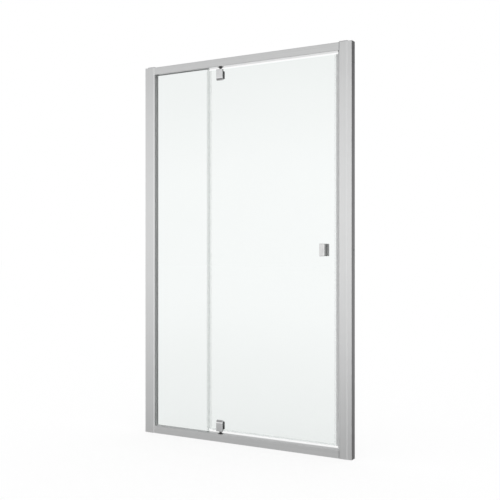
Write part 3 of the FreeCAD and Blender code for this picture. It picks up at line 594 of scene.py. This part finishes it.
@dataclass(frozen=True)
class Polymer:
    """Rubber or plastic with a fine moulded or extruded skin.

    Its `cover` runs from 0 for clear to 1 for opaque. With `clear_below` it is opaque beyond that
    place along X, and has its cover up to there.
    """

    name: str
    tint: Colour
    worn_tint: Colour
    roughness: tuple[float, float] = (0.45, 0.6)
    index: float = 1.46
    cover: float = 1.0
    clear_below: float | None = None
    mark_scale: float = 25.0
    mark_share: float = 0.5
    skin_scale: float = 900.0
    skin_strength: float = 0.3
    skin_depth: float = 0.02 * MM
    edge_radius: float = 0.2 * MM
    edge_share: float = 0.4

    def build(self) -> bpy.types.Material:
        """Build the material.

        Returns:
            The material.
        """
        material, sheet, output = start_material(self.name)
        place = sheet.add("TexCoord").outputs["Object"]
        marks = Marks().place(sheet, Place=place, Scale=self.mark_scale)
        edges = SoftEdges().place(sheet, Radius=self.edge_radius)
        dust = Dust().place(sheet, Place=place)
        worn = sheet.sum("MULTIPLY", marks.outputs["Mask"], self.mark_share)
        worn = sheet.sum("MULTIPLY_ADD", edges.outputs["Edge"], self.edge_share, worn)
        worn = sheet.sum("ADD", worn, dust.outputs["Mask"], clamp=True)
        tint = sheet.blend(worn, self.tint, self.worn_tint)
        skin = sheet.add("TexNoise", {"Vector": place, "Scale": self.skin_scale, "Detail": 2.0})
        relief = sheet.add(
            "Bump",
            {
                "Height": skin.outputs[0], "Normal": edges.outputs["Normal"],
                "Strength": self.skin_strength, "Distance": self.skin_depth,
            },
        )
        cover = self.cover
        if self.clear_below is not None:
            across = sheet.add("SeparateXYZ", {0: place}).outputs["X"]
            beyond = sheet.sum("GREATER_THAN", across, self.clear_below)
            cover = sheet.spread(beyond, self.cover, 1.0)
        shader = sheet.add(
            "BsdfPrincipled",
            {
                "Base Color": tint, "IOR": self.index, "Alpha": cover,
                "Roughness": sheet.spread(marks.outputs["Mask"], *self.roughness),
                "Normal": relief.outputs[0],
            },
        )
        sheet.tree.links.new(shader.outputs[0], output.inputs["Surface"])
        return material


class Finishes:
    """The finishes of the door, each built once."""

    def __init__(self) -> None:
        """Build every material."""
        self.upright = SatinAluminium("satin_aluminium_upright", Run.UPRIGHT).build()
        self.level = SatinAluminium("satin_aluminium_level", Run.LEVEL).build()
        self.chrome = BrightMetal("polished_chrome").build()
        self.satin_chrome = BrightMetal(
            "satin_chrome", tint=(0.86, 0.86, 0.855), dull_tint=(0.80, 0.80, 0.795),
            roughness=(0.28, 0.36),
        ).build()
        self.steel = BrightMetal(
            "screw_steel_bright", tint=(0.56, 0.56, 0.55), dull_tint=(0.42, 0.42, 0.41),
            roughness=(0.22, 0.4), mark_scale=300.0,
        ).build()
        self.glass = SafetyGlass().build()
        self.rubber = Polymer(
            "black_rubber", (0.020, 0.020, 0.021), (0.07, 0.07, 0.07), roughness=(0.55, 0.75)
        ).build()
        self.glazing = Polymer(
            "grey_glazing_rubber", (0.52, 0.53, 0.53), (0.60, 0.60, 0.60), roughness=(0.4, 0.6)
        ).build()
        self.dark_steel = BrightMetal(
            "blackened_pin_steel", tint=(0.10, 0.10, 0.10), dull_tint=(0.16, 0.16, 0.16),
            roughness=(0.25, 0.4), mark_scale=200.0,
        ).build()
        self.cap = Polymer("grey_cap_plastic", (0.30, 0.305, 0.31), (0.42, 0.42, 0.42)).build()
        self.trim = Polymer(
            "frosted_trim_plastic", PALE, (0.94, 0.95, 0.95), roughness=(0.2, 0.35), cover=0.11
        ).build()
        self.strike = Polymer("pale_seal_plastic", PALE, PALE_WORN, roughness=(0.25, 0.4)).build()
        self.magnet_seal = Polymer(
            "pale_seal_plastic_with_clear_legs", PALE, PALE_WORN, roughness=(0.2, 0.35),
            cover=0.06, clear_below=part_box("door_magnet")[0][0] - 1 * MM,
        ).build()
        self.seal = Polymer(
            "clear_seal_plastic", (0.85, 0.86, 0.86), (0.90, 0.91, 0.91), roughness=(0.1, 0.25),
            cover=0.09,
        ).build()
        self.magnet = Polymer("magnet_strip", (0.035, 0.033, 0.03), (0.09, 0.085, 0.08)).build()
        self.nylon = Polymer(
            "bearing_nylon_black", (0.045, 0.045, 0.047), (0.10, 0.10, 0.10), roughness=(0.35, 0.5)
        ).build()


class Drive(Enum):
    """The recess that a tool turns a screw by, with its number of sides or arms."""

    HEX = 6
    CROSS = 4


@dataclass(frozen=True)
class Screw:
    """A screw on its own axis, with its head's top at height 0 and its tip below.

    The rings run from the tip up to the rim of the top, each with a height and a radius.
    """

    rings: tuple[tuple[float, float], ...]
    drive: Drive
    drive_reach: float
    drive_depth: float
    arm_half: float = 0.0
    dome: float = 0.0
    dome_steps: int = 6
    segments: int = 72

    def reach(self, angle: float) -> float:
        """Find how far the recess reaches from the axis.

        Args:
            angle: the direction around the axis, in radians.

        Returns:
            The distance from the axis to the recess's wall.
        """
        sector = 2 * math.pi / self.drive.value
        off_middle = abs(angle % sector - sector / 2)
        if self.drive is Drive.HEX:
            return self.drive_reach * math.cos(sector / 2) / math.cos(off_middle)
        return min(self.drive_reach, self.arm_half / max(math.sin(off_middle), LEAST_SINE))

    def raise_ring(self, shape: bmesh.types.BMesh, ring: list[bmesh.types.BMEdge], height: float,
                   radius: float | None) -> list[bmesh.types.BMEdge]:
        """Extrude the last ring to a new one.

        Args:
            shape: the mesh of the screw.
            ring: the edges of the last ring.
            height: the height of the new ring.
            radius: its radius, or None where it follows the recess.

        Returns:
            The edges of the new ring.
        """
        made = bmesh.ops.extrude_edge_only(shape, edges=ring)["geom"]
        for point in (item for item in made if isinstance(item, bmesh.types.BMVert)):
            angle = math.atan2(point.co.y, point.co.x)
            reach = self.reach(angle) if radius is None else radius
            point.co = (reach * math.cos(angle), reach * math.sin(angle), height)
        return [item for item in made if isinstance(item, bmesh.types.BMEdge) and
                all(abs(point.co.z - height) < SAME_HEIGHT for point in item.verts) and
                len(item.link_faces) == 1]

    def list_shape(self, shape: bmesh.types.BMesh) -> tuple[list[Vector], Faces]:
        """List a mesh in an order that doesn't depend on how it was made.

        Args:
            shape: the mesh, which is freed.

        Returns:
            The points, and each face as the numbers of its points.
        """
        points = sorted(shape.verts, key=lambda point: tuple(point.co))
        for number, point in enumerate(points):
            point.index = number
        faces = []
        for face in shape.faces:
            numbers = [point.index for point in face.verts]
            first = numbers.index(min(numbers))
            faces.append(numbers[first:] + numbers[:first])
        places = [point.co.copy() for point in points]
        shape.free()
        return places, sorted(faces)

    def build(self) -> tuple[list[Vector], Faces]:
        """Build the screw's shape.

        Returns:
            Its points, and each face as the numbers of its points.
        """
        shape = bmesh.new()
        (bottom, radius), *others = self.rings
        bmesh.ops.create_circle(shape, segments=self.segments, radius=radius)
        bmesh.ops.translate(shape, verts=shape.verts, vec=(0, 0, bottom))
        ring = list(shape.edges)
        bmesh.ops.edgeloop_fill(shape, edges=ring)
        for height, radius in others:
            ring = self.raise_ring(shape, ring, height, radius)
        rim = ring
        for height in (0.0, -self.drive_depth):
            ring = self.raise_ring(shape, ring, height, None)
        bmesh.ops.edgeloop_fill(shape, edges=ring)
        if self.dome:
            bmesh.ops.bevel(
                shape, geom=rim, offset=self.dome, segments=self.dome_steps, profile=0.5,
                affect="EDGES", material=-1,
            )
        bmesh.ops.recalc_face_normals(shape, faces=shape.faces)
        return self.list_shape(shape)


@dataclass
class SubAssembly:
    """A group of the door's pieces that belong together."""

    finishes: Finishes

    def build(self) -> None:
        """Dress the group's pieces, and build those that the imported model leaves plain."""
        raise NotImplementedError

    def add_screws(self, node: str, body: Body, screw: Screw, way: Point,
                   spots: list[Vector]) -> None:
        """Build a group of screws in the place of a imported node.

        Args:
            node: the node that the screws stand for.
            body: the body that they ride on.
            screw: the screw's shape.
            way: the direction that the heads look in.
            spots: the middle of each head's top.
        """
        places, faces = screw.build()
        turn = Vector(way).to_track_quat("Z", "Y").to_matrix().to_4x4()
        moves = [Matrix.Translation(spot) @ turn for spot in spots]
        points = [move @ place for move in moves for place in places]
        starts = range(0, len(points), len(places))
        shifted = [[start + number for number in face] for start in starts for face in faces]
        data = bpy.data.meshes.new(f"{node}_driven")
        data.from_pydata(points, [], shifted)
        data.update()
        data.shade_smooth()
        data.set_sharp_from_angle(angle=SMOOTH_UP_TO)
        data.materials.append(self.finishes.steel)
        piece = bpy.data.objects.new(data.name, data)
        bpy.context.scene.collection.objects.link(piece)
        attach(piece, body.value)
        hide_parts(node)
        log.info("%s: %d screws", piece.name, len(spots))

    def dress(self, material: bpy.types.Material, *nodes: str) -> None:
        """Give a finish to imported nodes.

        Args:
            material: the finish.
            nodes: the names of the nodes.
        """
        for name in nodes:
            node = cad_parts[name]
            node.data.materials.clear()
            node.data.materials.append(material)
            log.info("%s: %s", name, material.name)


@dataclass
class WallSides(SubAssembly):
    """The wall channels and the posts that slide over them, with their caps and screws."""

    head_height: float = 2.4 * MM
    shank_radius: float = 1.9 * MM
    tip_chamfer: float = 0.5 * MM
    drive_reach: float = 2.1 * MM
    drive_depth: float = 1.5 * MM
    arm_half: float = 0.45 * MM
    dome: float = 1.9 * MM

    def build_lock_screws(self, side: Side) -> None:
        """Build the pan-head screws that lock one post to its wall channel.

        Args:
            side: the side of the frame.
        """
        node = f"{side.value}_lock_screws"
        low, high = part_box(node)
        head = (high[0] - low[0]) / 2
        length = high[1] - low[1]
        rings = (
            (-length, self.shank_radius - self.tip_chamfer),
            (self.tip_chamfer - length, self.shank_radius),
            (-self.head_height, self.shank_radius), (-self.head_height, head), (0.0, head),
        )
        screw = Screw(
            rings, Drive.CROSS, self.drive_reach, self.drive_depth, self.arm_half, self.dome
        )
        heights = (low[2] + head, (low[2] + high[2]) / 2, high[2] - head)
        middle = (low[0] + high[0]) / 2
        spots = [Vector((middle, high[1], height)) for height in heights]
        self.add_screws(node, Body.FRAME, screw, (0, 1, 0), spots)

    def build(self) -> None:
        """Dress both sides of the frame and build the screws that show."""
        for side in Side:
            self.dress(self.finishes.upright, f"{side.value}_wall_channel", f"{side.value}_post")
            self.dress(self.finishes.cap, f"{side.value}_post_cap")
            self.dress(self.finishes.steel, f"{side.value}_corner_screws")
            self.build_lock_screws(side)


@dataclass
class Rails(SubAssembly):
    """The header and sill rails with the strips in their grooves and the pivots' bearings."""

    def build(self) -> None:
        """Dress both rails, their strips and the bearings."""
        self.dress(self.finishes.level, "sill_rail", "header_rail")
        for place in ("sill", "head"):
            self.dress(self.finishes.level, f"{place}_infill_short", f"{place}_infill_long")
        for end in End:
            self.dress(
                self.finishes.nylon, f"{end.value}_pivot_socket", f"{end.value}_pivot_washer"
            )


@dataclass
class FixedPane(SubAssembly):
    """The fixed pane, its glazing gaskets and the trim on its free edge."""

    def build(self) -> None:
        """Dress the pane and what holds it."""
        self.dress(self.finishes.glass, "fixed_glass")
        for place in ("post", "sill", "head"):
            self.dress(self.finishes.glazing, f"fixed_glass_{place}_gasket")
        self.dress(self.finishes.trim, "fixed_glass_edge_trim")


@dataclass
class Closure(SubAssembly):
    """The magnet strips that hold the door shut, in the post and on the door."""

    def build(self) -> None:
        """Dress both magnet strips and their seals."""
        self.dress(self.finishes.strike, "strike_seal")
        self.dress(self.finishes.magnet_seal, "door_magnet_seal")
        self.dress(self.finishes.magnet, "strike_magnet", "door_magnet")


@dataclass
class DoorPane(SubAssembly):
    """The door's pane and the seals on its edges."""

    def build(self) -> None:
        """Dress the pane and its seals."""
        self.dress(self.finishes.glass, "door_glass")
        self.dress(self.finishes.seal, "door_pivot_edge_seal")
        self.dress(self.finishes.seal, "door_bottom_seal_short", "door_bottom_seal_long")


@dataclass
class Hinge(SubAssembly):
    """One of the two hinges that clamp the door's pane and turn on their pins."""

    end: End
    screw_radius: float = 2.0 * MM
    head_radius: float = 3.8 * MM
    rim_break: float = 0.25 * MM
    tip_chamfer: float = 0.5 * MM
    drive_reach: float = 1.7 * MM
    drive_depth: float = 1.8 * MM

    def build_screws(self) -> None:
        """Build the two countersunk screws that clamp the hinge's halves together."""
        node = f"{self.end.value}_hinge_screws"
        low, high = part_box(node)
        length = high[1] - low[1]
        head, shank = self.head_radius, self.screw_radius
        rings = (
            (-length, shank - self.tip_chamfer), (self.tip_chamfer - length, shank),
            (shank - head - self.rim_break, shank), (-self.rim_break, head),
            (0.0, head - self.rim_break),
        )
        screw = Screw(rings, Drive.HEX, self.drive_reach, self.drive_depth)
        height = (low[2] + high[2]) / 2
        spots = [Vector((x, high[1], height)) for x in (low[0] + head, high[0] - head)]
        self.add_screws(node, Body.DOOR, screw, (0, 1, 0), spots)

    def build(self) -> None:
        """Dress the hinge's pieces and build its screws."""
        part = f"{self.end.value}_hinge_"
        self.dress(self.finishes.chrome, part + "cover", part + "plate")
        self.dress(self.finishes.rubber, part + "front_gasket", part + "back_gasket")
        self.dress(self.finishes.dark_steel, f"{self.end.value}_pivot_pin")
        self.build_screws()


@dataclass
class Knob(SubAssembly):
    """The double-sided knob and what holds it through the glass."""

    grub_chamfer: float = 0.3 * MM
    drive_reach: float = 1.0 * MM
    drive_depth: float = 2.0 * MM

    def build_grub_screw(self) -> None:
        """Build the socket screw that holds the rear half, put in from below."""
        node = "knob_grub_screw"
        low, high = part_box(node)
        radius, length = (high[0] - low[0]) / 2, high[2] - low[2]
        narrow = radius - self.grub_chamfer
        rings = (
            (-length, narrow), (self.grub_chamfer - length, radius),
            (-self.grub_chamfer, radius), (0.0, narrow),
        )
        screw = Screw(rings, Drive.HEX, self.drive_reach, self.drive_depth)
        spot = Vector(((low[0] + high[0]) / 2, (low[1] + high[1]) / 2, low[2]))
        self.add_screws(node, Body.DOOR, screw, (0, 0, -1), [spot])

    def build(self) -> None:
        """Dress the knob's pieces and build its small screw."""
        self.dress(self.finishes.satin_chrome, "knob_front", "knob_back")
        self.dress(self.finishes.rubber, "knob_front_gasket", "knob_back_gasket")
        self.dress(self.finishes.steel, "knob_stud")
        self.build_grub_screw()
        self.dress(self.finishes.nylon, "knob_sleeve")


@dataclass(frozen=True)
class SoftLight:
    """A lamp that lights the floor and the door evenly, as a far, wide and soft one does.

    It shines from `stand` towards the origin. Its share is the level at which it lights a white
    floor, and its spread is an angle in degrees.
    """

    name: str
    stand: Point
    share: float
    spread: float

    def build(self) -> None:
        """Build the lamp."""
        data = bpy.data.lights.new(self.name, "SUN")
        slope = Vector(self.stand).normalized().z
        data.energy = self.share * math.pi / slope
        data.angle = math.radians(self.spread)
        lamp = bpy.data.objects.new(self.name, data)
        bpy.context.scene.collection.objects.link(lamp)
        lamp.location = self.stand
        lamp.rotation_euler = Vector(self.stand).to_track_quat("Z", "Y").to_euler()
        log.info("lamp %s", self.name)


@dataclass(frozen=True)
class Screen:
    """A soft screen on one side of the studio, which only mirror rays see.

    It begins where the cosine of the angle between a ray and `aim`, seen from above, is `edge`. It
    is full from `full` on. Its levels go by the ray's height on the unit sphere.
    """

    name: str
    aim: Point
    edge: float
    full: float
    levels: Curve


@dataclass
class Studio:
    """Pale floor, soft lamps and the white surroundings that the door stands in.

    Sight and glass rays see plain white. Mirror rays see a soft band of light at eye level, which
    falls off upwards and downwards, and the screens, of which a later one covers those before.
    """

    floor_half: float = 40.0
    floor_cells: int = 8
    floor_tone: float = 0.22
    floor_grain: float = 0.01
    ambient: float = 0.88
    band: Curve = (
        (-1.0, 0.80), (-0.85, 0.62), (-0.6, 0.24), (-0.5, 0.18), (-0.26, 0.37), (-0.16, 0.60),
        (-0.05, 0.90), (0.08, 0.94), (0.18, 0.79), (0.28, 0.54), (0.42, 0.36), (0.56, 0.32),
        (0.83, 0.44), (1.0, 0.6),
    )
    screens: tuple[Screen, ...] = (
        Screen("front_right", (0.10, -0.995, 0.0), 0.76, 0.92, (
            (-1.0, 0.80), (-0.85, 0.5), (-0.6, 0.24), (-0.5, 0.15), (-0.27, 0.20), (-0.18, 0.64),
            (-0.05, 1.08), (0.08, 1.12), (0.18, 0.94), (0.28, 0.52), (0.42, 0.36), (0.83, 0.44),
            (1.0, 0.6),
        )),
        Screen("back_left", (-0.51, 0.86, 0.0), 0.55, 0.9, (
            (-1.0, 0.35), (-0.35, 1.0), (-0.2, 1.05), (0.1, 0.60), (0.3, 0.6), (1.0, 0.35),
        )),
        Screen("dark_back_right", (0.485, 0.875, 0.0), 0.935, 0.982, (
            (-1.0, 0.5), (-0.5, 0.45), (-0.33, 0.06), (-0.24, 0.04), (-0.1, 0.17), (0.1, 0.17),
            (0.24, 0.05), (0.33, 0.07), (0.5, 0.45), (1.0, 0.6),
        )),
        Screen("beside_camera", (0.62, -0.78, 0.0), 0.48, 0.85, (
            (-1.0, 0.8), (-0.5, 0.35), (-0.24, 0.74), (-0.06, 1.20), (0.1, 1.22), (0.26, 0.93),
            (0.5, 0.5), (1.0, 0.8),
        )),
    )
    lights: tuple[SoftLight, ...] = (
        SoftLight("key_light", (1.4, -1.6, 4.6), 0.08, 35.0),
        SoftLight("top_light", (-0.8, 1.0, 5.0), 0.04, 60.0),
    )

    def seen(self, sheet: NodeSheet) -> Socket:
        """Tell the rays that show the surroundings from those that only light the object.

        Args:
            sheet: the sheet to add nodes to.

        Returns:
            A socket that is 1 for sight, mirror and glass rays.
        """
        path = sheet.add("LightPath").outputs
        seen = sheet.sum("ADD", path["Is Camera Ray"], path["Is Glossy Ray"], clamp=True)
        return sheet.sum("ADD", seen, path["Is Transmission Ray"], clamp=True)

    def mirrored(self, sheet: NodeSheet) -> Socket:
        """Tell the rays that a surface has mirrored on their way.

        Args:
            sheet: the sheet to add nodes to.

        Returns:
            A socket that is 1 for mirrored rays.
        """
        return sheet.sum("MINIMUM", sheet.add("LightPath").outputs["Glossy Depth"], 1.0)

    def build_floor(self) -> None:
        """Build the floor, as white as the surroundings. Mirrored rays pass through it."""
        shape = bmesh.new()
        bmesh.ops.create_grid(
            shape, x_segments=self.floor_cells, y_segments=self.floor_cells, size=self.floor_half
        )
        data = bpy.data.meshes.new("floor")
        shape.to_mesh(data)
        shape.free()
        floor = bpy.data.objects.new("floor", data)
        bpy.context.scene.collection.objects.link(floor)
        material, sheet, output = start_material("pale_floor")
        place = sheet.add("TexCoord").outputs["Object"]
        grain = sheet.add("TexNoise", {"Vector": place, "Scale": 40.0, "Detail": 3.0})
        low, high = (self.floor_tone * (1 + way * self.floor_grain) for way in (-1, 1))
        tone = sheet.spread(grain.outputs[0], low, high)
        glow = sheet.sum("MULTIPLY", self.seen(sheet), 1.0 - self.floor_tone)
        shader = sheet.add(
            "BsdfPrincipled",
            {
                "Base Color": tone, "Roughness": 0.9, "Specular IOR Level": 0.0,
                "Emission Color": WHITE, "Emission Strength": glow,
            },
        )
        clear = sheet.add("BsdfTransparent")
        surface = sheet.add(
            "MixShader", {0: self.mirrored(sheet), 1: shader.outputs[0], 2: clear.outputs[0]}
        )
        sheet.tree.links.new(surface.outputs[0], output.inputs["Surface"])
        data.materials.append(material)

    def screened(self, sheet: NodeSheet) -> Socket:
        """Work out what mirror rays see in each direction.

        Args:
            sheet: the sheet to add nodes to.

        Returns:
            The socket with the level of light.
        """
        way = sheet.add("TexCoord").outputs["Generated"]
        height = sheet.add("SeparateXYZ", {0: way}).outputs["Z"]
        flat = sheet.add("VectorMath", {0: way, 1: (1.0, 1.0, 0.0)}, operation="MULTIPLY")
        flat = sheet.add("VectorMath", {0: flat.outputs[0]}, operation="NORMALIZE").outputs[0]
        level = sheet.curve(height, self.band)
        for screen in self.screens:
            near = sheet.add(
                "VectorMath", {0: flat, 1: screen.aim}, operation="DOT_PRODUCT", label=screen.name
            )
            share = sheet.add(
                "MapRange",
                {"Value": near.outputs["Value"], "From Min": screen.edge, "From Max": screen.full},
                clamp=True, interpolation_type="SMOOTHSTEP",
            ).outputs[0]
            own = sheet.curve(height, screen.levels)
            level = sheet.add("Mix", {0: share, 2: level, 3: own}).outputs[0]
        return level

    def build_world(self) -> None:
        """Build the white surroundings, with what mirror rays see in them."""
        world = bpy.data.worlds.new("studio")
        world.use_nodes = True
        world.node_tree.nodes.clear()
        sheet = NodeSheet(world.node_tree)
        plain = sheet.spread(self.seen(sheet), self.ambient, 1.0)
        strength = sheet.add(
            "Mix", {0: self.mirrored(sheet), 2: plain, 3: self.screened(sheet)}
        ).outputs[0]
        light = sheet.add("Background", {"Color": WHITE, "Strength": strength})
        sheet.add("OutputWorld", {"Surface": light.outputs[0]})
        bpy.context.scene.world = world

    def build(self) -> None:
        """Build the floor, the surroundings and the lamps."""
        self.build_floor()
        self.build_world()
        for light in self.lights:
            light.build()


@dataclass
class Camera:
    """The camera at the photograph's viewing angle, with angles in degrees and lens in mm."""

    stand: Point = (2.170, -3.585, 0.975)
    tilt: float = 90.0
    turn: float = 30.7
    lens: float = 60.1
    sensor: float = 36.0

    def build(self) -> None:
        """Build the camera and make it the scene's own."""
        data = bpy.data.cameras.new("camera")
        data.lens, data.sensor_width = self.lens, self.sensor
        camera = bpy.data.objects.new("camera", data)
        bpy.context.scene.collection.objects.link(camera)
        camera.location = self.stand
        camera.rotation_euler = (math.radians(self.tilt), 0, math.radians(self.turn))
        bpy.context.scene.camera = camera


def main() -> None:
    """Build the studio and dress the door, one sub-assembly after the other."""
    logging.basicConfig(level=logging.INFO, format="%(name)s: %(message)s")
    bpy.context.scene.view_settings.view_transform = "Standard"
    Camera().build()
    Studio().build()
    finishes = Finishes()
    groups = (
        WallSides(finishes), Rails(finishes), FixedPane(finishes), Closure(finishes),
        DoorPane(finishes), *(Hinge(finishes, end) for end in End), Knob(finishes),
    )
    for group in groups:
        group.build()


if __name__ == "__main__":
    main()
